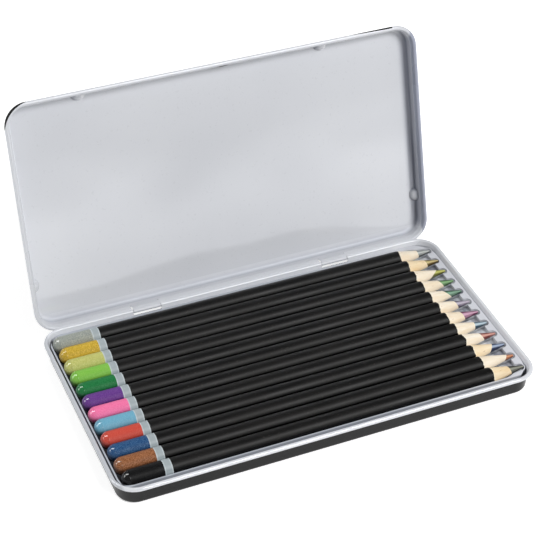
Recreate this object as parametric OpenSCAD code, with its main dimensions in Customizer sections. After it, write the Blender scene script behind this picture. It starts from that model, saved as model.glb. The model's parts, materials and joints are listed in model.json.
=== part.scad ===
// Hinged sheet-metal pencil tin: a shallow base pan and a lid pan with rolled rims,
// a wire hinge, a vacuum-formed tray and twelve round pencils with dipped ends.
// Origin: centre of the underside. X runs along the pencils, Y from front to back.

/* [Tin] */
// Height of the base, from the underside to the top of its rolled rim
base_height = 9.8; // [9.4:0.1:14]
// Depth of the lid, from its rolled rim to the outside of its panel
lid_depth = 6.8; // [6.4:0.1:14]
// Thickness of the sheet steel
sheet = 0.3; // [0.25:0.01:0.35]
// Radius of the upright corners, at the outside of the wall
corner_radius = 8; // [6:0.5:8.5]
// Outside radius of the bottom edge of the base
base_edge_radius = 1.5; // [1:0.1:2]
// Outside radius of the edge around the lid's panel
lid_edge_radius = 1.8; // [1:0.1:2.2]

/* [Rolled rim] */
// Outside radius of the rolled rim
roll_radius = 0.9; // [0.85:0.01:1]
// How far the rolled rim stands out from the wall
roll_overhang = 2; // [1.8:0.05:2.3]
// Height of the flare between the straight wall and the roll
flare_height = 1.2; // [0.8:0.1:1.6]
// Gap between the two rims when the lid is shut
rim_gap = 0.2; // [0.15:0.05:0.4]

/* [Hinge] */
// Angle at which the lid stands open
lid_angle = 108; // [0:1:110]
// Clearance between the hinge wire and the curls round it
wire_clearance = 0.05; // [0.03:0.01:0.1]
// How far the hinge wire reaches past each ear
wire_tail = 14; // [6:1:18]
// Width of each hinge ear on the lid
ear_width = 12; // [8:1:20]
// Distance of each hinge ear from the middle of the tin
ear_place = 44; // [30:1:54]
// Gap at each side of an ear
ear_gap = 0.3; // [0.2:0.05:0.6]

/* [Pressed marks in the lid] */
// Radius of the round dimples pressed into the edge of the panel
dimple_radius = 3; // [2:0.1:3.4]
// Places of the two dimples along the front edge
front_dimples = [-59, 49];
// Place of the dimple on each short side, measured back from the middle
side_dimple = 30; // [-30:1:34]
// Depth of the thumb recess in the front of the lid
thumb_depth = 0.5; // [0.3:0.05:0.6]
// Radius of the tool that presses the thumb recess
thumb_radius = 14; // [10:1:20]
// Place of the thumb recess along the front
thumb_place = 3; // [-20:1:20]
// Height of the thumb recess
thumb_height = 2; // [1:0.1:2.4]
// Space between the lid's flare and the thumb recess
thumb_space = 0.3; // [0.2:0.1:0.6]

/* [Tray] */
// Thickness of the plastic sheet of the tray
tray_sheet = 0.4; // [0.3:0.05:0.45]
// Gap between the tray and the wall of the base, all round
tray_gap = 0.4; // [0.4:0.05:0.6]
// Depth of the tray's flange below the top of the rim
flange_depth = 1.8; // [1.5:0.1:2]
// Width of the tray's flange along the front and the back
side_flange = 1.75; // [1.2:0.05:6]
// Width of the tray's flange at the short ends
end_flange = 0.25; // [0.2:0.05:6]
// Radius of the tray's two upright corners beside the pencils' tips
tip_corner_radius = 10; // [9:0.1:10.5]
// Clearance between the foot of the tray's skirt and the round edge of the base's floor
foot_clearance = 0.1; // [0.05:0.05:0.3]
// How far the ridges between the troughs lie below the pencils' axes
ridge_drop = 1.5; // [1.2:0.1:2]
// Gap round a pencil in its trough
trough_gap = 0.15; // [0.1:0.01:0.2]
// Space between the troughs and the walls of the pocket above them
pocket_gap = 0.15; // [0.1:0.01:0.2]
// Radius of the narrow end of a trough, beside a pencil's tip
trough_tip_radius = 2; // [1.5:0.1:2.5]
// Length of the niches in the tray's end wall, one round each pencil's tip
niche_length = 3; // [2:0.1:4]
// How far a pencil can slide each way along its trough
slide_room = 0.4; // [0.2:0.1:1]
// More room at the domed ends, which are blunter than the ends of the troughs
dome_room = 0.2; // [0.2:0.05:0.6]

/* [Pencils] */
// Diameter of a pencil
pencil_d = 7.2; // [6.6:0.1:8]
// Length of a pencil, from its domed end to its tip
pencil_length = 176; // [120:1:210]
// Gap between neighbouring pencils
pencil_gap = 0.3; // [0.2:0.05:0.4]
// How far the pencils' axes lie below the top of the base's rim
axis_drop = 2.2; // [1.8:0.05:2.4]
// Length of the sharpened cone
cone_length = 16; // [12:0.5:20]
// Radius of the blunt tip
tip_radius = 0.6; // [0.4:0.05:0.8]
// Diameter of a usual lead
lead_d = 3.7; // [3:0.1:4]
// How far off centre, back and up, a lead may lie
lead_drift = 0.3; // [0:0.05:0.4]
// Length of the coloured end, with its dome
cap_length = 16.6; // [12:0.1:24]
// Height of the dome at the end
dome_height = 2.7; // [2:0.1:3.2]
// Width of the pale ring next to the coloured end
ring_width = 3.3; // [2:0.1:6]
// Thickness of the coat of the coloured end and of the ring
coat = 0.15; // [0.1:0.01:0.3]

/* [Hidden] */
// One row for each pencil, from back to front: its name, the colour of its end and lead,
// how far it has slid to the right as a share of its room, how thick its lead is beside a
// usual one, and how far the lead lies off centre as a share of its drift.
PENCILS = [
    ["silver", "#989e98", -1, 0.95, 0.1],
    ["gold", "#a58f3e", 0, 0.95, 0.25],
    ["lime", "#bebf76", -1, 0.95, -1],
    ["light_green", "#88c05a", -1, 0.95, 0.55],
    ["green", "#338151", -1, 1.03, 0.85],
    ["purple", "#6c4a8a", -1, 1, 0.3],
    ["pink", "#ef7da8", -1, 1.1, 0.35],
    ["light_blue", "#75adc8", -0.9, 0.95, -0.1],
    ["coral", "#c85a4c", -1, 1, 0.4],
    ["dark_blue", "#365a82", -0.75, 1, -0.45],
    ["brown", "#946244", -0.75, 0.7, -0.4],
    ["black", "#202020", 0.6, 1, 0.25]
];
PIECES = ["casing", "lead", "end_cap", "ring"];
$fn = 96;

// A hair's breadth by which cutting tools pass through a face
cut = 0.5;

// The pencils set the size of the tray, and the tray sets the size of the tin.
pitch = pencil_d + pencil_gap;
pencil_r = pencil_d / 2;
first_pencil_y = (len(PENCILS) - 1) / 2 * pitch;
trough_r = pencil_r + trough_gap;
pocket_half_length = pencil_length / 2 + slide_room + dome_room / 2 + pocket_gap;
pocket_half_width = first_pencil_y + trough_r + pocket_gap;
tray_half_length = pocket_half_length + tray_sheet + end_flange;
tray_half_width = pocket_half_width + tray_sheet + side_flange;
half_length = tray_half_length + tray_gap + sheet;
half_width = tray_half_width + tray_gap + sheet;

trough_start = pocket_gap - pocket_half_length;
trough_end = pocket_half_length - pocket_gap;
pencil_start = trough_start + slide_room + dome_room;
pencil_end = trough_end - slide_room;
// A trough narrows beside the sharpened cone, wherever the pencil has slid to
taper_start = pencil_end - cone_length + slide_room;
narrow_start = trough_end - trough_tip_radius;

tray_corner_radius = corner_radius - sheet - tray_gap;
// The pocket's corners are concentric with the tray's, as seen from the side flange
flange_and_wall = side_flange + tray_sheet;
// How far the skirt leans in, to pass the round edge of the base's floor
skirt_lean = base_edge_radius - sheet - tray_gap + foot_clearance;

// Heights above the underside
axis_height = base_height - axis_drop;
ridge_z = axis_height - ridge_drop;
flange_z = base_height - flange_depth;
// Height of the lid's rim when the lid is shut
lid_rim_z = base_height + rim_gap;

// Centre of the roll, measured out from the wall
roll_out = roll_overhang - roll_radius;
// In section, the slit along the roll's edge: the angle at which it starts, and its width
slit_angle = 182;
slit_width = 0.75 * roll_radius;
// The hinge turns about the centre of the base's back roll
hinge_y = half_width + roll_out;
hinge_z = base_height - roll_radius;
// How far an ear reaches below the lid's rim to get round the wire
ear_drop = 2 * roll_radius + rim_gap;
wire_radius = roll_radius - sheet - wire_clearance;
wire_length = 2 * (ear_place + ear_width / 2 + wire_tail);

// Plan of a box with rounded upright corners, which may differ between its two ends
module rounded_plan(half_x, half_y, left_r, right_r) {
    translate([left_r - half_x, -half_y])
        square([2 * half_x - left_r - right_r, 2 * half_y]);
    translate([-half_x, left_r - half_y]) square([left_r, 2 * (half_y - left_r)]);
    translate([half_x - right_r, right_r - half_y])
        square([right_r, 2 * (half_y - right_r)]);
    for (y = [-1, 1]) {
        translate([left_r - half_x, y * (half_y - left_r)]) circle(left_r);
        translate([half_x - right_r, y * (half_y - right_r)]) circle(right_r);
    }
}

// Carries a wall's section round such a plan. In the section, x = 0 is the outside of the
// plan and y is the height.
module sweep_round(half_x, half_y, left_r, right_r) {
    translate([half_x, half_y - right_r, 0]) rotate([90, 0, 0])
        linear_extrude(2 * (half_y - right_r)) children();
    translate([-half_x, left_r - half_y, 0]) rotate([90, 0, 180])
        linear_extrude(2 * (half_y - left_r)) children();
    for (side = [0, 1]) {
        mirror([0, side, 0]) {
            translate([left_r - half_x, half_y, 0]) rotate([90, 0, 90])
                linear_extrude(2 * half_x - left_r - right_r) children();
            translate([half_x - right_r, half_y - right_r, 0])
                rotate_extrude(angle = 90) translate([right_r, 0]) children();
            translate([left_r - half_x, half_y - left_r, 0])
                rotate([0, 0, 90]) rotate_extrude(angle = 90) translate([left_r, 0]) children();
        }
    }
}

// The rim of a pan in section: the wall flares out and curls over into a hollow roll,
// whose edge stops just short of the flare.
module rim_section(height) {
    flare_start = height - roll_radius - flare_height;
    flare_out = roll_overhang - 2 * roll_radius;
    polygon([
        [-sheet, flare_start],
        [0, flare_start],
        [flare_out + sheet, height - roll_radius],
        [flare_out, height - roll_radius]
    ]);
    translate([roll_out, height - roll_radius]) difference() {
        circle(roll_radius);
        circle(roll_radius - sheet);
        rotate(slit_angle) square([2 * roll_radius, slit_width]);
    }
}

// The whole wall in section, from the rounded edge of the panel to the rim
module wall_section(height, edge_radius) {
    translate([-sheet, edge_radius])
        square([sheet, height - roll_radius - flare_height - edge_radius]);
    translate([-edge_radius, edge_radius]) intersection() {
        difference() {
            circle(edge_radius);
            circle(edge_radius - sheet);
        }
        translate([0, -edge_radius]) square(edge_radius);
    }
    rim_section(height);
}

// A drawn pan with its panel down and its rim up
module pan(height, edge_radius) {
    panel_radius = corner_radius - edge_radius;
    sweep_round(half_length, half_width, corner_radius, corner_radius)
        wall_section(height, edge_radius);
    linear_extrude(sheet) rounded_plan(
        half_length - edge_radius, half_width - edge_radius, panel_radius, panel_radius
    );
}

// Repeats a hinge detail at the two ears
module at_ears() {
    for (side = [-1, 1]) {
        translate([side * ear_place, 0, 0]) children();
    }
}

module base_pan() {
    window_width = ear_width + 2 * ear_gap;
    window_floor = hinge_z - roll_radius - ear_gap;
    color("#2e2e30") difference() {
        pan(base_height, base_edge_radius);
        at_ears() translate([-window_width / 2, half_width - sheet - cut, window_floor])
            cube([window_width, roll_overhang + sheet + 2 * cut, base_height]);
    }
}

module hinge_wire() {
    color("#b8bcc2") translate([-wire_length / 2, hinge_y, hinge_z])
        rotate([0, 90, 0]) cylinder(r = wire_radius, h = wire_length);
}

// A ball pressed into the edge between the panel and the skirt of the shut lid
module at_dimples() {
    top = lid_rim_z + lid_depth;
    for (x = front_dimples) {
        translate([x, -half_width, top]) children();
    }
    for (side = [-1, 1]) {
        translate([side * half_length, side_dimple, top]) children();
    }
}

// The pressing tool of the thumb recess, grown by a margin
module thumb_tool(grow) {
    foot = lid_rim_z + roll_radius + flare_height + thumb_space;
    translate([thumb_place, thumb_depth - half_width - thumb_radius, foot])
        cylinder(r = thumb_radius + grow, h = thumb_height);
}

// The lid as it lies when it is shut
module shut_lid() {
    notch_width = ear_width + 2 * ear_gap;
    straight_wall = roll_radius + flare_height;
    top = lid_rim_z + lid_depth;
    difference() {
        union() {
            difference() {
                translate([0, 0, top]) mirror([0, 0, 1]) pan(lid_depth, lid_edge_radius);
                at_ears() translate([-notch_width / 2, half_width - sheet - cut, lid_rim_z - cut])
                    cube([notch_width, roll_overhang + sheet + 2 * cut, straight_wall + cut]);
            }
            at_ears() translate([-ear_width / 2, half_width, top])
                mirror([0, 0, 1]) rotate([90, 0, 90]) linear_extrude(ear_width) {
                    rim_section(lid_depth + ear_drop);
                    translate([-sheet, lid_depth - straight_wall - sheet])
                        square([sheet, ear_drop + sheet]);
                }
            intersection() {
                at_dimples() sphere(dimple_radius + sheet);
                translate([sheet / 2 - half_length, sheet / 2 - half_width, lid_rim_z])
                    cube([2 * half_length - sheet, 2 * half_width - sheet, lid_depth - sheet / 2]);
            }
            intersection() {
                thumb_tool(sheet);
                translate([-half_length / 2, sheet / 2 - half_width, lid_rim_z])
                    cube([half_length, half_width / 2, lid_depth]);
            }
        }
        at_dimples() sphere(dimple_radius);
        thumb_tool(0);
    }
}

module lid_pan() {
    color("#c9cdd4") translate([0, hinge_y, hinge_z]) rotate([-lid_angle, 0, 0])
        translate([0, -hinge_y, -hinge_z]) shut_lid();
}

// The room of one trough, grown by a margin: a round channel that narrows to the tip's end
module trough(grow) {
    round_start = trough_start + trough_r;
    translate([round_start, 0, axis_height]) sphere(trough_r + grow);
    translate([round_start, 0, axis_height]) rotate([0, 90, 0])
        cylinder(r = trough_r + grow, h = taper_start - round_start);
    translate([taper_start, 0, axis_height]) rotate([0, 90, 0]) cylinder(
        r1 = trough_r + grow, r2 = trough_tip_radius + grow, h = narrow_start - taper_start
    );
    translate([narrow_start, 0, axis_height]) sphere(trough_tip_radius + grow);
}

// The way up from the narrow part of a trough, grown by a margin. Beside the tip it is a
// niche in the tray's end wall.
module niche(grow, height) {
    wide = trough_r + grow;
    narrow = trough_tip_radius + grow;
    translate([0, 0, axis_height]) linear_extrude(height) {
        polygon([
            [taper_start, -wide],
            [narrow_start, -narrow],
            [narrow_start, narrow],
            [taper_start, wide]
        ]);
        translate([narrow_start, 0]) circle(narrow);
    }
}

// Repeats something at every pencil's place
module at_pencils() {
    for (i = [0:len(PENCILS) - 1]) {
        translate([0, first_pencil_y - i * pitch, 0]) children();
    }
}

// The pocket above the ridges, grown by a margin. Its end wall stands before the niches.
module pocket(grow, height) {
    translate([-niche_length / 2, 0, ridge_z - grow]) linear_extrude(height + grow) rounded_plan(
        pocket_half_length - niche_length / 2 + grow,
        pocket_half_width + grow,
        tray_corner_radius - flange_and_wall + grow,
        tip_corner_radius - flange_and_wall + grow
    );
}

module pencil_tray() {
    color("#c3c8ce", 0.7) difference() {
        union() {
            translate([0, 0, flange_z - tray_sheet]) linear_extrude(tray_sheet) rounded_plan(
                tray_half_length, tray_half_width, tray_corner_radius, tip_corner_radius
            );
            sweep_round(
                tray_half_length, tray_half_width, tray_corner_radius, tip_corner_radius
            ) polygon([
                [0, flange_z],
                [-tray_sheet, flange_z],
                [-tray_sheet - skirt_lean, sheet],
                [-skirt_lean, sheet]
            ]);
            pocket(tray_sheet, flange_z - ridge_z);
            intersection() {
                at_pencils() {
                    trough(tray_sheet);
                    niche(tray_sheet, flange_z - axis_height);
                }
                translate([-half_length, -half_width, 0])
                    cube([2 * half_length, 2 * half_width, flange_z]);
            }
        }
        pocket(0, base_height);
        at_pencils() {
            trough(0);
            niche(0, base_height);
        }
    }
}

// Everything inside a pencil's outline, turned to lie along X
module along_x() {
    rotate([90, 0, 90]) rotate_extrude() children();
}

// Section of a sharpened pencil under its coats: radius across, place along the pencil up
module sharpened_section() {
    back = pencil_start + dome_height;
    coat_end = pencil_start + cap_length + ring_width;
    blunt = tip_radius / 2;
    polygon([
        [0, back],
        [pencil_r - coat, back],
        [pencil_r - coat, coat_end],
        [pencil_r, coat_end],
        [pencil_r, pencil_end - cone_length],
        [tip_radius, pencil_end - blunt],
        [tip_radius - blunt, pencil_end],
        [0, pencil_end]
    ]);
}

// The round hole for a lead, which passes through both ends of the casing
module lead_bore(row) {
    off_centre = lead_drift * row[4];
    translate([pencil_start, off_centre, off_centre]) rotate([0, 90, 0])
        cylinder(d = lead_d * row[3], h = pencil_length + cut);
}

module casing(row) {
    color("#26262a") difference() {
        along_x() sharpened_section();
        lead_bore(row);
    }
}

module lead(row) {
    color(row[1]) intersection() {
        lead_bore(row);
        along_x() sharpened_section();
    }
}

module end_cap(row) {
    dome_radius = (pencil_r * pencil_r + dome_height * dome_height) / (2 * dome_height);
    shoulder = pencil_start + dome_height;
    color(row[1]) along_x() {
        intersection() {
            translate([0, pencil_start + dome_radius]) circle(dome_radius);
            translate([0, pencil_start]) square([pencil_r, dome_height]);
        }
        translate([pencil_r - coat, shoulder]) square([coat, cap_length - dome_height]);
    }
}

module ring() {
    color("#a9b0b3") along_x()
        translate([pencil_r - coat, pencil_start + cap_length]) square([coat, ring_width]);
}

// One piece of one pencil, in its trough
module pencil_piece(i, piece) {
    row = PENCILS[i];
    translate([slide_room * row[2], first_pencil_y - i * pitch, axis_height]) {
        if (piece == "casing") casing(row);
        if (piece == "lead") lead(row);
        if (piece == "end_cap") end_cap(row);
        if (piece == "ring") ring();
    }
}

base_pan();
lid_pan();
hinge_wire();
pencil_tray();
for (i = [0:len(PENCILS) - 1]) {
    for (piece = PIECES) {
        pencil_piece(i, piece);
    }
}
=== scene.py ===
import json
import math
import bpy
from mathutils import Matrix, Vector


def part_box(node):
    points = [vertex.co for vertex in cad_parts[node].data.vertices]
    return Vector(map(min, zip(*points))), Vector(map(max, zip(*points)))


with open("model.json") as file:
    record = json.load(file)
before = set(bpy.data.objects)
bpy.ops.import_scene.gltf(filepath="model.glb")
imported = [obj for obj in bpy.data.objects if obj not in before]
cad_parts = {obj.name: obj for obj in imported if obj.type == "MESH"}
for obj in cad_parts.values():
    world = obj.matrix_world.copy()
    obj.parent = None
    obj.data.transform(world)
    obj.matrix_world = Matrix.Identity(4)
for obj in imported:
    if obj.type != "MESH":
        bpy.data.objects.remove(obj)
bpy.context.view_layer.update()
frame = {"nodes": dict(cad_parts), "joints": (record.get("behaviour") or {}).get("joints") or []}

from types import SimpleNamespace

import bpy
from mathutils import Matrix, Vector

# --- Base pan ---------------------------------------------------------------------------
# A shallow pan drawn from lacquered tinplate: black enamel outside, white lacquer inside.
# The sheet's edge is rolled outwards, so the roll shows the white inner side.

# Sizes are in metres. The body's are over its walls, without the roll.
HALF_LENGTH = 0.090
HALF_WIDTH = 0.048
CORNER_RADIUS = 0.008
SHEET = 0.0003
BASE_EDGE_RADIUS = 0.0015
ROLL_HEIGHT = 0.0018


def linear(red, green, blue):
    """A colour given in screen values from 0 to 255, as a shader takes it."""
    shares = [value / 255 for value in (red, green, blue)]
    return (*[s / 12.92 if s <= 0.04045 else ((s + 0.055) / 1.055) ** 2.4 for s in shares], 1)


def add(tree, kind, inputs=None, **settings):
    """Adds a node to a shader tree. An input is a plain value or another node's output."""
    made = tree.nodes.new("ShaderNode" + kind)
    for name, value in settings.items():
        setattr(made, name, value)
    for name, value in (inputs or {}).items():
        if isinstance(value, bpy.types.NodeSocket):
            tree.links.new(value, made.inputs[name])
        else:
            made.inputs[name].default_value = value
    return made


def calc(tree, operation, *values):
    """The result of a Math node."""
    return add(tree, "Math", dict(enumerate(values)), operation=operation).outputs[0]


def vector_calc(tree, operation, *values):
    """The result of a Vector Math node, which is a number for some operations."""
    made = add(tree, "VectorMath", dict(enumerate(values)), operation=operation)
    is_number = operation in ("DISTANCE", "DOT_PRODUCT")
    return made.outputs["Value" if is_number else "Vector"]


def split(tree, vector):
    """The three measures of a vector."""
    return add(tree, "SeparateXYZ", {0: vector}).outputs[:]


def both(tree, first, second):
    """Where two masks overlap."""
    return calc(tree, "MULTIPLY", first, second)


def mix(tree, share, first, second):
    """A colour between two others. The node's colours are its sockets 6 and 7."""
    return add(
        tree, "Mix", {0: share, 6: first, 7: second}, data_type="RGBA", clamp_factor=True
    ).outputs[2]


def remap(tree, value, before, after=(0.0, 1.0)):
    """A value spread from one range to another, and held at its ends."""
    ends = {"From Min": before[0], "From Max": before[1], "To Min": after[0], "To Max": after[1]}
    return add(tree, "MapRange", {"Value": value, **ends}, clamp=True).outputs[0]


def noise(tree, place, scale, detail=2.0, stretch=(1, 1, 1), offset=(0, 0, 0)):
    """Cloudy noise between 0 and 1. A stretch below 1 draws it out along that axis."""
    moved = add(tree, "Mapping", {"Vector": place, "Location": offset, "Scale": stretch})
    return add(
        tree, "TexNoise", {"Vector": moved.outputs[0], "Scale": scale, "Detail": detail}
    ).outputs[0]


# Most of a noise lies between these values.
NOISE_RANGE = (0.3, 0.7)


def bump(tree, height, strength, distance):
    """The normal of a surface that a height map dents."""
    return add(
        tree, "Bump", {"Height": height, "Strength": strength, "Distance": distance}
    ).outputs[0]


def finish(name, **constants):
    """A new material with its Principled shader and the place on the piece."""
    material = bpy.data.materials.new(name)
    material.use_nodes = True
    tree = material.node_tree
    shader = tree.nodes["Principled BSDF"]
    for socket, value in constants.items():
        shader.inputs[socket.replace("_", " ")].default_value = value
    place = add(tree, "TexCoord").outputs["Object"]
    return material, tree, shader, place


def feed(tree, node, **inputs):
    """Links outputs to a node's named inputs."""
    for socket, output in inputs.items():
        tree.links.new(output, node.inputs[socket.replace("_", " ")])


def dress(node, material):
    """Gives a CAD node its material."""
    piece = frame["nodes"][node]
    piece.data.materials.clear()
    piece.data.materials.append(material)


def new_group(name, inputs, outputs):
    """An empty shader node group with named sockets."""
    group = bpy.data.node_groups.new(name, "ShaderNodeTree")
    for socket, kind in inputs:
        group.interface.new_socket(socket, in_out="INPUT", socket_type="NodeSocket" + kind)
    for socket, kind in outputs:
        group.interface.new_socket(socket, in_out="OUTPUT", socket_type="NodeSocket" + kind)
    return group, group.nodes.new("NodeGroupInput"), group.nodes.new("NodeGroupOutput")


def length_past_zero(tree, first, second):
    """The distance of two measures from a corner, where either counts only above zero."""
    squares = [
        calc(tree, "POWER", calc(tree, "MAXIMUM", value, 0.0), 2.0) for value in (first, second)
    ]
    return calc(tree, "SQRT", calc(tree, "ADD", *squares))


# The outside of a drawn pan: 1 on the outer face of the floor and the walls, 0 on the
# inner face and on the rolled rim. It is found from how far a point lies past the rounded
# outline of the plan, and then past the rounded edge of the floor.
pan_outside, pan_in, pan_out = new_group(
    "Outside of a pan",
    [("Place", "Vector"), ("Edge Radius", "Float"), ("Roll Start", "Float")],
    [("Outside", "Float")],
)
corner_centre = (HALF_LENGTH - CORNER_RADIUS, HALF_WIDTH - CORNER_RADIUS, 0)
from_middle = vector_calc(pan_outside, "ABSOLUTE", pan_in.outputs["Place"])
past_corner = vector_calc(pan_outside, "SUBTRACT", from_middle, corner_centre)
past_end, past_side, _ = split(pan_outside, past_corner)
_, _, height = split(pan_outside, pan_in.outputs["Place"])
past_wall = calc(
    pan_outside, "ADD",
    length_past_zero(pan_outside, past_end, past_side),
    calc(pan_outside, "MINIMUM", calc(pan_outside, "MAXIMUM", past_end, past_side), 0.0),
)
past_wall = calc(pan_outside, "SUBTRACT", past_wall, CORNER_RADIUS)
edge = pan_in.outputs["Edge Radius"]
past_sheet = calc(
    pan_outside, "SUBTRACT",
    length_past_zero(
        pan_outside,
        calc(pan_outside, "ADD", past_wall, edge),
        calc(pan_outside, "SUBTRACT", edge, height),
    ),
    edge,
)
on_outer_face = calc(pan_outside, "GREATER_THAN", past_sheet, -SHEET / 2)
below_roll = calc(pan_outside, "LESS_THAN", height, pan_in.outputs["Roll Start"])
feed(pan_outside, pan_out, Outside=both(pan_outside, on_outer_face, below_roll))

# Two-sided lacquer: satin black enamel with a faint orange peel, and white lacquer with
# soft cloudy differences in tone and fine specks. A trace of the tin shines through the
# white, and the enamel is the rougher of the two.
WHITE_LACQUER = linear(221, 223, 228)
CLOUDED_LACQUER = linear(200, 203, 210)
SPECK_GREY = linear(150, 152, 158)
SPECK_SHARE = 0.10
BLACK_ENAMEL = linear(16, 16, 17)
CLOUDED_ENAMEL = linear(36, 36, 38)
LACQUER_ROUGHNESS = (0.05, 0.08)
ENAMEL_ROUGHER_BY = 0.2
TIN_SHARE = 0.07
PEEL_SHARE = 0.0006
WAVE_DEPTH = 0.0009

lacquer, lacquer_in, lacquer_out = new_group(
    "Two-sided lacquer",
    [("Place", "Vector"), ("Outside", "Float"), ("White", "Color"), ("Black", "Color")],
    [("Color", "Color"), ("Roughness", "Float"), ("Metallic", "Float"), ("Normal", "Vector")],
)
place = lacquer_in.outputs["Place"]
clouds = noise(lacquer, place, scale=22, detail=3)
specks = remap(lacquer, noise(lacquer, place, scale=900, detail=1), (0.66, 0.74))
peel = noise(lacquer, place, scale=1400, detail=1)
waves = noise(lacquer, place, scale=14, detail=1)
white = mix(lacquer, remap(lacquer, clouds, (0.35, 0.70), (0.0, 0.22)),
            lacquer_in.outputs["White"], CLOUDED_LACQUER)
white = mix(lacquer, calc(lacquer, "MULTIPLY", specks, SPECK_SHARE), white, SPECK_GREY)
black = mix(lacquer, remap(lacquer, clouds, NOISE_RANGE, (0.0, 0.35)),
            lacquer_in.outputs["Black"], CLOUDED_ENAMEL)
outside = lacquer_in.outputs["Outside"]
dull = remap(lacquer, clouds, NOISE_RANGE, LACQUER_ROUGHNESS)
relief = calc(lacquer, "ADD", calc(lacquer, "MULTIPLY", peel, PEEL_SHARE), waves)
feed(
    lacquer, lacquer_out,
    Color=mix(lacquer, outside, white, black),
    Roughness=calc(
        lacquer, "ADD", dull, calc(lacquer, "MULTIPLY", outside, ENAMEL_ROUGHER_BY)
    ),
    Metallic=calc(lacquer, "MULTIPLY", calc(lacquer, "SUBTRACT", 1.0, outside), TIN_SHARE),
    Normal=bump(lacquer, relief, strength=1.0, distance=WAVE_DEPTH),
)


def pan_finish(name, edge_radius, roll_start, turn=0.0, shift=(0, 0, 0), upright=True):
    """The lacquer of one pan. The turn and the shift, and a flip where the pan isn't upright,
    bring a place on the piece to where it is on a pan that stands on its panel."""
    material, tree, shader, place = finish(name, Specular_IOR_Level=0.25)
    moved = add(tree, "Mapping", {"Vector": place, "Rotation": (turn, 0, 0), "Location": shift})
    standing = vector_calc(tree, "MULTIPLY", moved.outputs[0], (1, 1, 1 if upright else -1))
    side = add(
        tree, "Group",
        {"Place": standing, "Edge Radius": edge_radius, "Roll Start": roll_start},
        node_tree=pan_outside,
    )
    coat = add(
        tree, "Group",
        {"Place": place, "Outside": side.outputs["Outside"],
         "White": WHITE_LACQUER, "Black": BLACK_ENAMEL},
        node_tree=lacquer,
    )
    feed(tree, shader, Base_Color=coat.outputs["Color"], Roughness=coat.outputs["Roughness"],
         Metallic=coat.outputs["Metallic"], Normal=coat.outputs["Normal"])
    return SimpleNamespace(material=material, tree=tree, shader=shader, standing=standing,
                           outside=side.outputs["Outside"], coat=coat)


# Painted shade: the lacquer is painted greyer on the left wall and its roll. It is duller
# on the back ones.
BASE_LACQUER = linear(228, 230, 235)
LEFT_PAINTED_SHADE = linear(176, 180, 186)
LEFT_SIDE = (0.0005 - HALF_LENGTH, 0.0015 - HALF_LENGTH)
LEFT_SHADE_SHARE = 0.6
BACK_SIDE = (HALF_WIDTH - 0.0015, HALF_WIDTH - 0.0005)
BACK_ROUGHER_BY = 0.22

base_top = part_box("base_pan")[1].z
base = pan_finish("Base lacquer", BASE_EDGE_RADIUS, base_top - ROLL_HEIGHT)
along, across, _ = split(base.tree, base.standing)
# Painted shade, full at the left wall and fading out inwards.
painted_left_shade = remap(base.tree, along, LEFT_SIDE, (LEFT_SHADE_SHARE, 0.0))
at_back = remap(base.tree, across, BACK_SIDE, (0.0, BACK_ROUGHER_BY))
feed(base.tree, base.coat, White=mix(base.tree, painted_left_shade, BASE_LACQUER, LEFT_PAINTED_SHADE))
feed(base.tree, base.shader,
     Roughness=calc(base.tree, "ADD", base.coat.outputs["Roughness"], at_back))
dress("base_pan", base.material)

# --- Hinge wire -------------------------------------------------------------------------
# A length of drawn steel wire that lies in the hollow roll at the base's back edge. The
# lid's two ears are curled round it.

DARK_STEEL = linear(150, 152, 156)
BRIGHT_STEEL = linear(196, 198, 201)

wire_finish, tree, shader, place = finish("Drawn steel wire", Metallic=1.0)
drawn = noise(tree, place, scale=900, detail=2, stretch=(0.03, 1, 1))
feed(
    tree, shader,
    Base_Color=mix(tree, drawn, DARK_STEEL, BRIGHT_STEEL),
    Roughness=remap(tree, drawn, NOISE_RANGE, (0.25, 0.45)),
    Normal=bump(tree, drawn, strength=0.2, distance=0.0001),
)
dress("hinge_wire", wire_finish)

# --- Lid --------------------------------------------------------------------------------
# The same lacquered sheet, drawn into a shallower pan with the white side inwards, with
# four pressed dimples and a thumb recess. Its two ears are curled round the hinge wire.

LID_DEPTH = 0.0068
LID_EDGE_RADIUS = 0.0018
LID_ROLL_START = LID_DEPTH - ROLL_HEIGHT
RIM_GAP = 0.0002
DIMPLE_RADIUS = 0.003
FRONT_DIMPLES = [(-0.059, -HALF_WIDTH, 0), (0.049, -HALF_WIDTH, 0)]
SIDE_DIMPLES = [(-HALF_LENGTH, 0.030, 0), (HALF_LENGTH, 0.030, 0)]
THUMB_RADIUS = 0.014
THUMB_CENTRE = (0.003, -HALF_WIDTH - 0.0135, 0)


def either(tree, first, second):
    """The stronger of two masks."""
    return calc(tree, "MAXIMUM", first, second)


# From the open lid back to the shut one, and from there to a pan that stands on its panel.
lid_hinge = next(joint for joint in frame["joints"] if joint["name"] == "lid_hinge")
hinge_place = Vector(lid_hinge["pos_m"])
open_angle = math.radians(-lid_hinge["range_deg"][0])
lid_top = base_top + RIM_GAP + LID_DEPTH
shut_shift = hinge_place - Matrix.Rotation(open_angle, 3, "X") @ hinge_place
lid = pan_finish(
    "Lid lacquer", LID_EDGE_RADIUS, LID_ROLL_START,
    turn=open_angle, shift=shut_shift - Vector((0, 0, lid_top)), upright=False,
)
tree = lid.tree
along, across, height = split(tree, lid.standing)
level = vector_calc(tree, "MULTIPLY", lid.standing, (1, 1, 0))

# The dimples and the thumb recess are black outside too. Inside, the front dimples have
# painted shade on the left and a painted highlight on the right, and the right dimple has
# painted shade towards the wall.
PRESSED_RING = (DIMPLE_RADIUS + 0.0003, DIMPLE_RADIUS + 0.0008)
HIGHLIGHT_FROM_MIDDLE = (0.0003, 0.0014)
SHADE_FROM_MIDDLE = (-0.0022, -0.0010)
SHADE_AT_WALL = (-0.0022, -0.0008)

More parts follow.
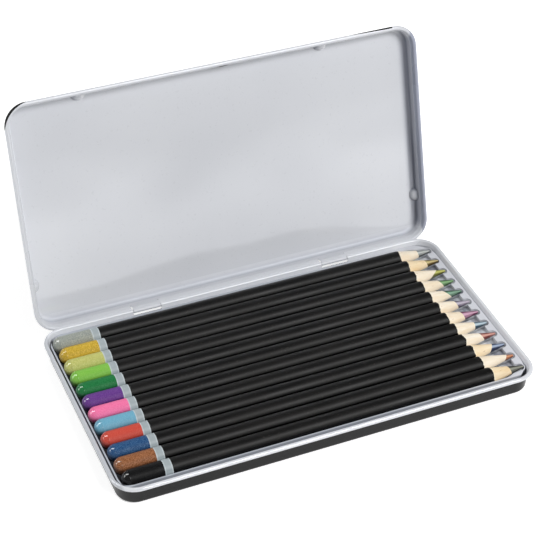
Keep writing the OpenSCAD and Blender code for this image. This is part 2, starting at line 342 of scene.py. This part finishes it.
outside = lid.outside
# Painted highlight and painted shade on the dimples, gathered over all of them.
painted_dimple_highlight = painted_dimple_shade = 0.0
for centre in FRONT_DIMPLES + SIDE_DIMPLES:
    away = vector_calc(tree, "DISTANCE", lid.standing, centre)
    within = calc(tree, "LESS_THAN", away, DIMPLE_RADIUS + SHEET / 2)
    outside = either(tree, outside, within)
    pressed = remap(tree, away, PRESSED_RING, (1.0, 0.0))
    if centre in FRONT_DIMPLES:
        from_middle = calc(tree, "SUBTRACT", along, centre[0])
        to_right = remap(tree, from_middle, HIGHLIGHT_FROM_MIDDLE)
        to_left = remap(tree, from_middle, SHADE_FROM_MIDDLE, (1.0, 0.0))
        painted_dimple_highlight = either(tree, painted_dimple_highlight, both(tree, pressed, to_right))
        painted_dimple_shade = either(tree, painted_dimple_shade, both(tree, pressed, to_left))
    elif centre[0] > 0:
        from_middle = calc(tree, "SUBTRACT", along, centre[0])
        to_wall = remap(tree, from_middle, SHADE_AT_WALL)
        painted_dimple_shade = either(tree, painted_dimple_shade, both(tree, pressed, to_wall))
from_thumb = vector_calc(tree, "DISTANCE", level, THUMB_CENTRE)
in_recess = both(
    tree, calc(tree, "LESS_THAN", from_thumb, THUMB_RADIUS + SHEET / 2),
    calc(tree, "LESS_THAN", height, LID_ROLL_START),
)
outside = either(tree, outside, in_recess)

# Round the left front corner, and in a tapered line beside the right one, the black enamel
# runs on to the roll.
CORNER_LINE_CENTRE = (0.010 - HALF_LENGTH, 0.010 - HALF_WIDTH, 0)
CORNER_LINE_RADIUS = 0.0121
CORNER_LINE_ENDS = (0.011 - HALF_LENGTH, 0.008 - HALF_WIDTH)
TAPER_RUN = (HALF_LENGTH - 0.028, HALF_LENGTH - 0.012)
TAPER_ACROSS = (-HALF_WIDTH - 0.0020, -HALF_WIDTH - 0.0015)
TAPER_END = HALF_LENGTH - 0.009

from_corner = vector_calc(tree, "DISTANCE", level, CORNER_LINE_CENTRE)
round_corner = both(
    tree, calc(tree, "GREATER_THAN", from_corner, CORNER_LINE_RADIUS),
    calc(tree, "LESS_THAN", along, CORNER_LINE_ENDS[0]),
)
round_corner = both(tree, round_corner, calc(tree, "LESS_THAN", across, CORNER_LINE_ENDS[1]))
tapered = remap(tree, along, TAPER_RUN, TAPER_ACROSS)
beside_corner = both(
    tree, calc(tree, "LESS_THAN", across, tapered), calc(tree, "LESS_THAN", along, TAPER_END)
)
outside = either(tree, outside, either(tree, round_corner, beside_corner))

# Painted shade: the white lacquer is painted greyer on the right wall and roll, most of all
# in the crease at the wall's foot, and in the fold at the hinge. It is duller at the hinge
# and on the roll.
RIGHT_WALL_PAINTED_SHADE = linear(150, 156, 176)
WALL_AND_ROLL_SHARES = (0.4, 0.85)
WALL_FADE = (HALF_LENGTH - 0.0014, HALF_LENGTH - 0.0006)
CREASE_PAINTED_SHADE = linear(78, 84, 110)
CREASE_SHARE = 0.62
CREASE_SHARPNESS = 1.5
CREASE_FADE = (HALF_LENGTH - 0.0048, HALF_LENGTH - 0.0016)
CREASE_HEIGHTS = (0.0012, 0.0026)
# The dimples' painted shade and painted highlight.
DIMPLE_PAINTED_SHADE = linear(130, 134, 148)
DIMPLE_SHADE_SHARE = 0.6
DIMPLE_PAINTED_HIGHLIGHT = linear(250, 250, 252)
FOLD_PAINTED_SHADE = linear(198, 201, 209)
FOLD_SHARE = 0.8
FOLD_FADE = (HALF_WIDTH - 0.0028, HALF_WIDTH - 0.0016)
FOLD_HEIGHTS = (0.0016, 0.0024)
HINGE_SIDE = (HALF_WIDTH - 0.0050, HALF_WIDTH - 0.0025)
HINGE_SIDE_ROUGHER_BY = 0.4
ROLL_ROUGHER_BY = 0.22

on_roll = calc(tree, "GREATER_THAN", height, LID_ROLL_START)
painted_wall_shade = both(
    tree, remap(tree, along, WALL_FADE), remap(tree, on_roll, (0.0, 1.0), WALL_AND_ROLL_SHARES)
)
painted_crease_shade = both(
    tree, remap(tree, along, CREASE_FADE), remap(tree, height, CREASE_HEIGHTS, (1.0, 0.0))
)
painted_crease_shade = calc(tree, "POWER", painted_crease_shade, CREASE_SHARPNESS)
painted_fold_shade = both(
    tree, remap(tree, across, FOLD_FADE), remap(tree, height, FOLD_HEIGHTS, (FOLD_SHARE, 0.0))
)
# The painted shades and the dimples' painted highlight, laid over the white lacquer.
white = WHITE_LACQUER
for share, colour in [
    (painted_wall_shade, RIGHT_WALL_PAINTED_SHADE),
    (calc(tree, "MULTIPLY", painted_crease_shade, CREASE_SHARE), CREASE_PAINTED_SHADE),
    (calc(tree, "MULTIPLY", painted_dimple_shade, DIMPLE_SHADE_SHARE), DIMPLE_PAINTED_SHADE),
    (painted_dimple_highlight, DIMPLE_PAINTED_HIGHLIGHT),
    (painted_fold_shade, FOLD_PAINTED_SHADE),
]:
    white = mix(tree, share, white, colour)
rougher = either(
    tree, remap(tree, across, HINGE_SIDE, (0.0, HINGE_SIDE_ROUGHER_BY)),
    calc(tree, "MULTIPLY", on_roll, ROLL_ROUGHER_BY),
)
feed(tree, lid.coat, White=white, Outside=outside)
feed(tree, lid.shader, Roughness=calc(tree, "ADD", lid.coat.outputs["Roughness"], rougher))
dress("lid_pan", lid.material)

# --- Tray -------------------------------------------------------------------------------
# A tray of thin clear plastic, drawn by vacuum over a form with twelve troughs. It lies
# loose in the base, and its flange stops just below the roll.

# Painted shade: the troughs, where the pencils lie close together, are painted dark grey.
# The plastic is milky from the middle towards the tips, along both sides and at the domes'
# end, and streaked inside, between the tips. A painted line of shade runs along the outer
# lip of the front flange.
TROUGH_PAINTED_SHADE = linear(66, 68, 74)
WALL_DARK = linear(138, 142, 153)
WALL_PALE = linear(222, 226, 232)
FLANGE_GREY = linear(184, 189, 198)
FLANGE_PALE = linear(212, 214, 220)
LIP_PAINTED_SHADE = linear(100, 104, 112)
LIP_SHADE_SHARE = 0.75
TOWARDS_TIPS = (0.020, 0.070)
LONG_SIDES = (HALF_WIDTH - 0.0040, HALF_WIDTH - 0.0030)
DOME_END = (0.0014 - HALF_LENGTH, 0.0018 - HALF_LENGTH)
FLANGE_LIP = (0.0020 - HALF_WIDTH, 0.0024 - HALF_WIDTH)
TOP_HEIGHTS = (0.0066, 0.0079)
PLASTIC_ROUGHNESS = (0.12, 0.24)

tray_finish, tree, shader, place = finish("Vacuum-formed plastic")
haze = noise(tree, place, scale=60, detail=3)
chill = noise(tree, place, scale=260, detail=2, stretch=(1, 0.4, 1))
along, across, height = split(tree, place)
at_tips = remap(tree, along, TOWARDS_TIPS)
at_sides = remap(tree, calc(tree, "ABSOLUTE", across), LONG_SIDES)
at_dome_end = remap(tree, along, DOME_END, (1.0, 0.0))
# Where the plastic keeps its own colour; elsewhere the troughs get the painted shade.
milky = either(tree, at_tips, either(tree, at_sides, at_dome_end))
inside = both(tree, at_tips, calc(tree, "SUBTRACT", 1.0, at_sides))
streaks = calc(tree, "SUBTRACT", remap(tree, chill, (0.35, 0.65)), 0.5)
streaks = calc(tree, "ADD", 0.5, calc(tree, "MULTIPLY", streaks, inside))
wall = mix(tree, streaks, WALL_DARK, WALL_PALE)
flange = mix(tree, at_tips, FLANGE_GREY, FLANGE_PALE)
# A painted line of shade along the outer lip of the front flange.
flange = mix(tree, remap(tree, across, FLANGE_LIP, (LIP_SHADE_SHARE, 0.0)), flange, LIP_PAINTED_SHADE)
plastic = mix(tree, remap(tree, height, TOP_HEIGHTS), wall, flange)
feed(
    tree, shader,
    Base_Color=mix(tree, milky, TROUGH_PAINTED_SHADE, plastic),
    Roughness=remap(tree, haze, NOISE_RANGE, PLASTIC_ROUGHNESS),
    Normal=bump(tree, calc(tree, "ADD", chill, haze), strength=0.35, distance=0.0006),
)
dress("pencil_tray", tray_finish)

# --- Pencils ----------------------------------------------------------------------------
# Twelve round pencils. Each is a black-painted wooden casing, sharpened to a cone, round a
# lead that isn't quite centred. Its far end is dipped in lacquer of the lead's colour, with
# a silver-grey ring where the dip meets the black.

CONE_LENGTH = 0.016
RING_WIDTH = 0.0033
DOME_HEIGHT = 0.0027

# Each pencil's colours: the lead, its painted highlight and paler streaks, the dipped end,
# the end's paler flecks, and how reddish its wood is, from 0 to 1.
PENCIL_COLOURS = {
    "silver": ((96, 102, 100), (206, 210, 206), (136, 142, 138), (178, 181, 168), 0.1),
    "gold": ((104, 84, 40), (212, 194, 138), (176, 146, 44), (228, 192, 84), 0.9),
    "lime": ((112, 112, 40), (206, 206, 110), (178, 180, 98), (206, 206, 136), 0.2),
    "light_green": ((44, 84, 44), (140, 184, 128), (120, 184, 70), (142, 194, 90), 0.3),
    "green": ((26, 70, 48), (140, 178, 152), (30, 110, 58), (48, 130, 76), 0.2),
    "purple": ((88, 76, 98), (204, 196, 210), (96, 54, 132), (116, 76, 148), 0.2),
    "pink": ((108, 44, 78), (220, 176, 200), (238, 112, 160), (246, 134, 178), 0.3),
    "light_blue": ((40, 72, 92), (200, 220, 230), (106, 166, 192), (126, 180, 202), 0.2),
    "coral": ((116, 52, 46), (222, 166, 152), (198, 74, 62), (206, 90, 74), 0.0),
    "dark_blue": ((34, 48, 84), (170, 186, 210), (26, 66, 112), (76, 112, 150), 0.8),
    "brown": ((150, 82, 48), (224, 160, 120), (124, 76, 46), (182, 126, 90), 0.1),
    "black": ((22, 24, 20), (150, 152, 138), (14, 14, 15), (34, 34, 35), 0.9),
}

# Basswood: pale, with fine grain along the pencil, short brown flecks, and the shallow
# rings that the sharpener's blade leaves, one every 0.4 mm.
PALE_WOOD = linear(253, 246, 232)
PALE_GRAIN = linear(247, 234, 211)
RED_WOOD = linear(249, 230, 194)
RED_GRAIN = linear(238, 210, 164)
BAND_BROWN = linear(216, 182, 132)
BAND_SHARE = 0.25
FLECK_BROWN = linear(168, 122, 78)
FLECK_SHARE = 0.5
BLADE_RADIANS = 16000.0  # per metre
BLADE_DEPTH_SHARE = 0.12

basswood, wood_in, wood_out = new_group(
    "Sharpened basswood",
    [("Place", "Vector"), ("Reddish", "Float"), ("Seed", "Vector")],
    [("Color", "Color"), ("Height", "Float")],
)
seeded = vector_calc(basswood, "ADD", wood_in.outputs["Place"], wood_in.outputs["Seed"])
grain = noise(basswood, seeded, scale=700, detail=4, stretch=(0.08, 1, 1))
bands = noise(basswood, seeded, scale=260, detail=2, stretch=(0.12, 1, 1))
flecks = noise(basswood, seeded, scale=1500, detail=1, stretch=(0.22, 1, 1))
grainy = remap(basswood, grain, NOISE_RANGE)
banded = remap(basswood, bands, (0.50, 0.75), (0.0, BAND_SHARE))
flecked = calc(basswood, "MULTIPLY", remap(basswood, flecks, (0.70, 0.78)), FLECK_SHARE)
timber = mix(
    basswood, wood_in.outputs["Reddish"],
    mix(basswood, grainy, PALE_WOOD, PALE_GRAIN), mix(basswood, grainy, RED_WOOD, RED_GRAIN),
)
timber = mix(basswood, banded, timber, BAND_BROWN)
timber = mix(basswood, flecked, timber, FLECK_BROWN)
along, _, _ = split(basswood, seeded)
blade = calc(basswood, "SINE", calc(basswood, "MULTIPLY", along, BLADE_RADIANS))
feed(
    basswood, wood_out, Color=timber,
    Height=calc(basswood, "ADD", grain, calc(basswood, "MULTIPLY", blade, BLADE_DEPTH_SHARE)),
)


# The black paint is rubbed and dusty. Below its upper side it is painted deep black, as
# painted shade between the barrels, and is glossier there. Its edge at the cone is ragged,
# with a paler rim of wood.
PAINT_BLACK = linear(10, 10, 10)
RUBBED_BLACK = linear(22, 21, 20)
PAINTED_SHADE_BLACK = linear(2, 2, 2)
DUST_GREY = linear(84, 80, 74)
DUST_SHARE = 0.25
PAINT_ROUGHNESS = (0.42, 0.52)
WOOD_ROUGHER_BY = 0.18
SHADED_SMOOTHER_BY = 0.28
# The painted shade below the upper side fades out between these heights.
UPPER_SIDE = (0.0013, 0.0018)  # above the axis
RAGGED_BY = 0.0016
BARE_BEFORE_CONE = 0.0004
RIM_BEFORE_CONE = 0.0001
RIM_WOOD = linear(252, 246, 230)
RIM_SHARE = 0.6


def casing_finish(name, seed, reddish, cone_start, axis):
    """Black paint up to the sharpened cone, and bare wood from there."""
    material, tree, shader, place = finish(name + " casing", Specular_IOR_Level=0.22)
    wood = add(tree, "Group", {"Place": place, "Reddish": reddish, "Seed": seed},
               node_tree=basswood)
    along, _, height = split(tree, place)
    above_axis = calc(tree, "SUBTRACT", height, axis.z)
    ragged = calc(tree, "MULTIPLY", noise(tree, place, scale=420, offset=seed), RAGGED_BY)
    edge = calc(tree, "SUBTRACT", along, ragged)
    bare = calc(tree, "GREATER_THAN", edge, cone_start - BARE_BEFORE_CONE)
    rim = both(tree, bare, calc(tree, "LESS_THAN", edge, cone_start - RIM_BEFORE_CONE))
    rubbed = noise(tree, place, scale=300, detail=3, stretch=(0.15, 1, 1), offset=seed)
    dust = noise(tree, place, scale=1800, detail=2, stretch=(0.5, 1, 1))
    dusty = calc(tree, "MULTIPLY", remap(tree, dust, (0.62, 0.75)), DUST_SHARE)
    # Painted shade below the upper side, between the barrels.
    painted_shade_below = remap(tree, above_axis, UPPER_SIDE, (1.0, 0.0))
    paint = mix(tree, remap(tree, rubbed, (0.35, 0.70)), PAINT_BLACK, RUBBED_BLACK)
    paint = mix(tree, dusty, paint, DUST_GREY)
    paint = mix(tree, painted_shade_below, paint, PAINTED_SHADE_BLACK)
    timber = mix(tree, calc(tree, "MULTIPLY", rim, RIM_SHARE), wood.outputs["Color"], RIM_WOOD)
    roughness = calc(
        tree, "ADD", calc(tree, "MULTIPLY", bare, WOOD_ROUGHER_BY),
        remap(tree, rubbed, NOISE_RANGE, PAINT_ROUGHNESS),
    )
    relief = mix(tree, bare, rubbed, wood.outputs["Height"])
    feed(
        tree, shader,
        Base_Color=mix(tree, bare, paint, timber),
        Roughness=calc(
            tree, "SUBTRACT", roughness, calc(tree, "MULTIPLY", painted_shade_below, SHADED_SMOOTHER_BY)
        ),
        Normal=bump(tree, relief, strength=0.25, distance=0.0001),
    )
    return material


# Each lead has a painted highlight along its upper side, towards the front, and painted
# shade away from it.
HIGHLIGHT_SIDE = (0, -0.50, 0.866)
HIGHLIGHT_FADE = (0.90, 0.98)
HIGHLIGHT_SHARE = 0.9
AWAY_SHADE_FADE = (0.40, 0.80)
AWAY_SHADE_SHARE = 0.75
LEAD_SHADE = 0.35
STREAK_SHARE = 0.45
CRUMB_SHARE = 0.3


def lead_finish(name, seed, colour, pale, axis):
    """Waxy pigment, streaked by the blade, with a painted highlight and painted shade."""
    material, tree, shader, place = finish(
        name + " lead", Specular_IOR_Level=0.6, Coat_Roughness=0.2, Coat_Weight=0.6
    )
    streaks = noise(tree, place, scale=760, detail=2, stretch=(0.06, 1, 1), offset=seed)
    crumbs = noise(tree, place, scale=4000, detail=1, offset=seed)
    outwards = vector_calc(tree, "SUBTRACT", place, axis)
    outwards = vector_calc(tree, "MULTIPLY", outwards, (0, 1, 1))
    outwards = vector_calc(tree, "NORMALIZE", outwards)
    facing = vector_calc(tree, "DOT_PRODUCT", outwards, HIGHLIGHT_SIDE)
    # Painted highlight along the upper side.
    painted_highlight = remap(tree, facing, HIGHLIGHT_FADE, (0.0, HIGHLIGHT_SHARE))
    streaked = remap(tree, streaks, (0.46, 0.60), (0.0, STREAK_SHARE))
    # Painted shade on the side turned away from the painted highlight.
    away = remap(tree, facing, AWAY_SHADE_FADE, (AWAY_SHADE_SHARE, 0.0))
    body = mix(tree, either(tree, painted_highlight, streaked), linear(*colour), linear(*pale))
    relief = calc(tree, "ADD", streaks, calc(tree, "MULTIPLY", crumbs, CRUMB_SHARE))
    feed(
        tree, shader,
        Base_Color=mix(tree, away, body, linear(*[value * LEAD_SHADE for value in colour])),
        Roughness=remap(tree, streaks, NOISE_RANGE, (0.28, 0.42)),
        Normal=bump(tree, relief, strength=0.3, distance=0.0001),
    )
    return material


# The dipped ends have painted shade on their lower side, but for the three pearly ones,
# and a painted line of shade where the dome starts.
PEARLY = ("silver", "gold", "lime")
CAP_SHADE = 0.55
CAP_UPPER_SIDE = (0.0006, 0.0020)  # above the axis
CAP_LOWER_SHADE_SHARE = 0.75
FLAKE_SHARE = 0.8
SEAM_WIDTH = (0.0001, 0.0004)
SEAM_SHADE_SHARE = 0.14
SATIN_ROUGHNESS = (0.42, 0.50)
DOME_BLEND = 0.0002
DOME_SMOOTHER_BY = 0.32


def cap_finish(name, seed, colour, fleck, shoulder, axis):
    """Dipped lacquer with fine flecks, satin along the pencil and glossy on the dome."""
    material, tree, shader, place = finish(
        name + " end", Specular_IOR_Level=0.1, Coat_Roughness=0.1
    )
    along, _, height = split(tree, place)
    above_axis = calc(tree, "SUBTRACT", height, axis.z)
    past_shoulder = calc(tree, "SUBTRACT", along, shoulder)
    flakes = remap(tree, noise(tree, place, scale=3200, detail=2, offset=seed), (0.44, 0.60))
    clouds = noise(tree, place, scale=240, detail=2, offset=seed)
    shaded = linear(*[value * CAP_SHADE for value in colour])
    lower_shade_share = 0.0 if name in PEARLY else CAP_LOWER_SHADE_SHARE
    # Painted shade on the lower side of the dipped end.
    painted_lower_shade = remap(tree, above_axis, CAP_UPPER_SIDE, (lower_shade_share, 0.0))
    # A painted line of shade where the dome starts.
    painted_seam_shade = remap(tree, calc(tree, "ABSOLUTE", past_shoulder), SEAM_WIDTH, (SEAM_SHADE_SHARE, 0.0))
    dome = remap(tree, past_shoulder, (-DOME_BLEND, DOME_BLEND), (1.0, 0.0))
    satin = remap(tree, clouds, NOISE_RANGE, SATIN_ROUGHNESS)
    flaked = calc(tree, "MULTIPLY", flakes, FLAKE_SHARE)
    body = mix(tree, flaked, linear(*colour), linear(*fleck))
    body = mix(tree, painted_lower_shade, body, shaded)
    feed(
        tree, shader,
        Base_Color=mix(tree, painted_seam_shade, body, shaded),
        Roughness=calc(tree, "SUBTRACT", satin, calc(tree, "MULTIPLY", dome, DOME_SMOOTHER_BY)),
        Coat_Weight=dome,
        Normal=bump(tree, clouds, strength=0.15, distance=0.0003),
    )
    return material


RING_GREY = linear(150, 160, 164)
RING_PALE = linear(172, 182, 185)
RING_EDGE = linear(206, 215, 218)
RING_EDGE_FADE = (RING_WIDTH / 2 - 0.0006, RING_WIDTH / 2 - 0.0001)
RING_EDGE_SHARE = 0.7


def ring_finish(name, seed, start):
    """Silver-grey lacquer, paler along both edges of the ring."""
    material, tree, shader, place = finish(name + " ring", Specular_IOR_Level=0.25)
    along, _, _ = split(tree, place)
    cloudy = noise(tree, place, scale=900, detail=3, stretch=(0.4, 1, 1), offset=seed)
    from_middle = calc(tree, "ABSOLUTE", calc(tree, "SUBTRACT", along, start + RING_WIDTH / 2))
    at_edge = remap(tree, from_middle, RING_EDGE_FADE, (0.0, RING_EDGE_SHARE))
    feed(
        tree, shader,
        Base_Color=mix(tree, at_edge, mix(tree, cloudy, RING_GREY, RING_PALE), RING_EDGE),
        Roughness=remap(tree, cloudy, NOISE_RANGE, (0.32, 0.44)),
        Normal=bump(tree, cloudy, strength=0.15, distance=0.0001),
    )
    return material


# From one pencil to the next, the noise is read this much further on, so that no two are
# alike.
SEED_STEP = (0.31, 0.17, 0.07)

for index, (name, colours) in enumerate(PENCIL_COLOURS.items()):
    lead_colour, pale_lead, cap_colour, cap_fleck, reddish = colours
    seed = [index * step for step in SEED_STEP]
    low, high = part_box(name + "_casing")
    axis = (low + high) / 2
    cone_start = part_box(name + "_lead")[1].x - CONE_LENGTH
    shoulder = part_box(name + "_end_cap")[0].x + DOME_HEIGHT
    ring_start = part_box(name + "_ring")[0].x
    dress(name + "_casing", casing_finish(name, seed, reddish, cone_start, axis))
    dress(name + "_lead", lead_finish(name, seed, lead_colour, pale_lead, axis))
    dress(name + "_end_cap", cap_finish(name, seed, cap_colour, cap_fleck, shoulder, axis))
    dress(name + "_ring", ring_finish(name, seed, ring_start))

# --- Floor ------------------------------------------------------------------------------
# A plain matt white table top, on which the tin stands. To the camera and in reflections
# it is lifted to white where no shadow lies.

TABLE_SIZE = 8
TABLE_WHITE = (0.9, 0.9, 0.9, 1)
TABLE_LIFT = 0.55

bpy.ops.object.select_all(action="DESELECT")
bpy.ops.mesh.primitive_plane_add(size=TABLE_SIZE, location=(0, 0, 0))
floor = bpy.context.object
floor.name = "Floor"
floor_finish, tree, shader, _ = finish(
    "White table top", Base_Color=TABLE_WHITE, Roughness=0.9, Specular_IOR_Level=0.0
)
ray = add(tree, "LightPath")
seen = either(tree, ray.outputs["Is Camera Ray"], ray.outputs["Is Glossy Ray"])
seen = either(tree, seen, ray.outputs["Is Transmission Ray"])
lift = add(tree, "Emission", {"Strength": calc(tree, "MULTIPLY", seen, TABLE_LIFT)})
together = add(tree, "AddShader", {0: shader.outputs[0], 1: lift.outputs[0]})
feed(tree, tree.nodes["Material Output"], Surface=together.outputs[0])
floor.data.materials.append(floor_finish)

# --- Light ------------------------------------------------------------------------------
# A pale room and three soft boxes: the key high at the front right, a tall narrow one
# behind on the left, and a weak low one on the left.

ROOM_STRENGTH = 0.16

room = bpy.data.worlds.new("Pale room")
bpy.context.scene.world = room
room.use_nodes = True
room.node_tree.nodes["Background"].inputs["Color"].default_value = (1, 1, 1, 1)
room.node_tree.nodes["Background"].inputs["Strength"].default_value = ROOM_STRENGTH


def soft_box(name, place, aim, size, power):
    """An area lamp, so wide and so high, that faces a point."""
    lamp = bpy.data.lights.new(name, "AREA")
    lamp.shape = "RECTANGLE"
    lamp.size, lamp.size_y = size
    lamp.energy = power
    box = bpy.data.objects.new(name, lamp)
    bpy.context.scene.collection.objects.link(box)
    box.location = place
    box.rotation_euler = (Vector(aim) - Vector(place)).to_track_quat("-Z", "Y").to_euler()


soft_box("Key", place=(0.53, -1.0, 1.14), aim=(0, 0, 0.03), size=(0.7, 0.7), power=19.5)
soft_box("Back", place=(-0.75, 0.55, 1.0), aim=(0, 0, 0.01), size=(0.22, 0.75), power=7)
soft_box("Left", place=(-1.0, 0.5, 0.35), aim=(-0.08, 0, 0.01), size=(0.35, 0.35), power=2.0)

# --- Camera -----------------------------------------------------------------------------
# A long lens, high in front and to the left of the tin, that looks down on it. It is held
# by its place and by the directions that are right and down in its view.

CAMERA_PLACE = Vector((-0.22975, -0.47301, 0.48056))
CAMERA_RIGHT = Vector((0.91665, -0.39848, 0.03102))
CAMERA_DOWN = Vector((-0.22940, -0.58808, -0.77559))
LENS = 113.64
SENSOR_WIDTH = 36

camera = bpy.data.objects.new("Camera", bpy.data.cameras.new("Camera"))
bpy.context.scene.collection.objects.link(camera)
camera.data.lens = LENS
camera.data.sensor_width = SENSOR_WIDTH
backwards = CAMERA_RIGHT.cross(-CAMERA_DOWN)
turn = Matrix((CAMERA_RIGHT, -CAMERA_DOWN, backwards)).transposed()
camera.matrix_world = Matrix.Translation(CAMERA_PLACE) @ turn.to_4x4()
bpy.context.scene.camera = camera
bpy.context.scene.view_settings.view_transform = "Standard"
